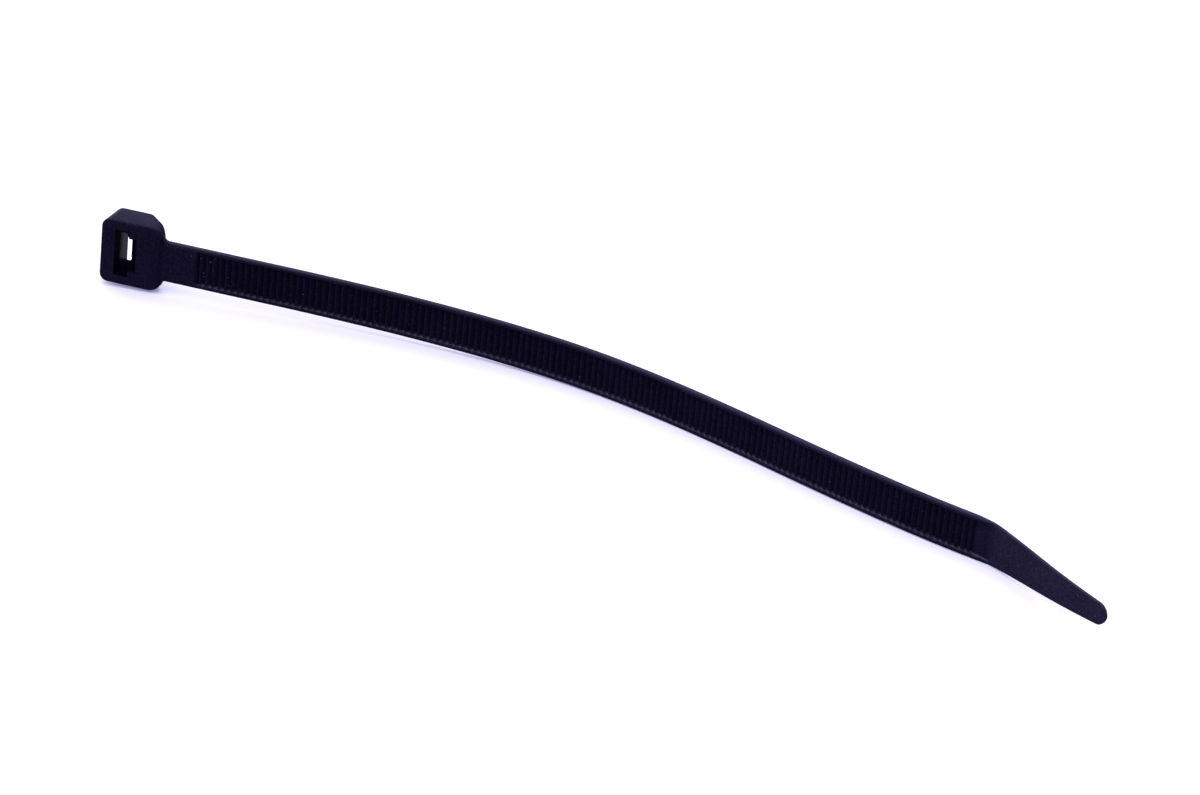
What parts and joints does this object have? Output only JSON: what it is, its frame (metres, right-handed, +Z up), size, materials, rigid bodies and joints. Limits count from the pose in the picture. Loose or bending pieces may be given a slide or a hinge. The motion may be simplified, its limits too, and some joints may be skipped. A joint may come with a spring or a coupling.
{
  "type": "cable tie",
  "caption": "Self-locking cable tie in black nylon: a bowed, toothed strap with raised rails and a tapered tip, and a slotted head with a locking pawl, standing on its long edge.",
  "frame": {"origin": "centre of the slot's mouth, on the head's flat face", "axes": "+X along the strap as it leaves the head, +Y into the slot and away from the toothed side, +Z up across the strap, with the tie leaning about five degrees as it rests on its edge"},
  "size_m": [0.1964, 0.0597, 0.0129],
  "materials": {
    "nylon": "satin"
  },
  "bodies": {
    "root": {"cable_tie": "nylon"}
  },
  "joints": []
}
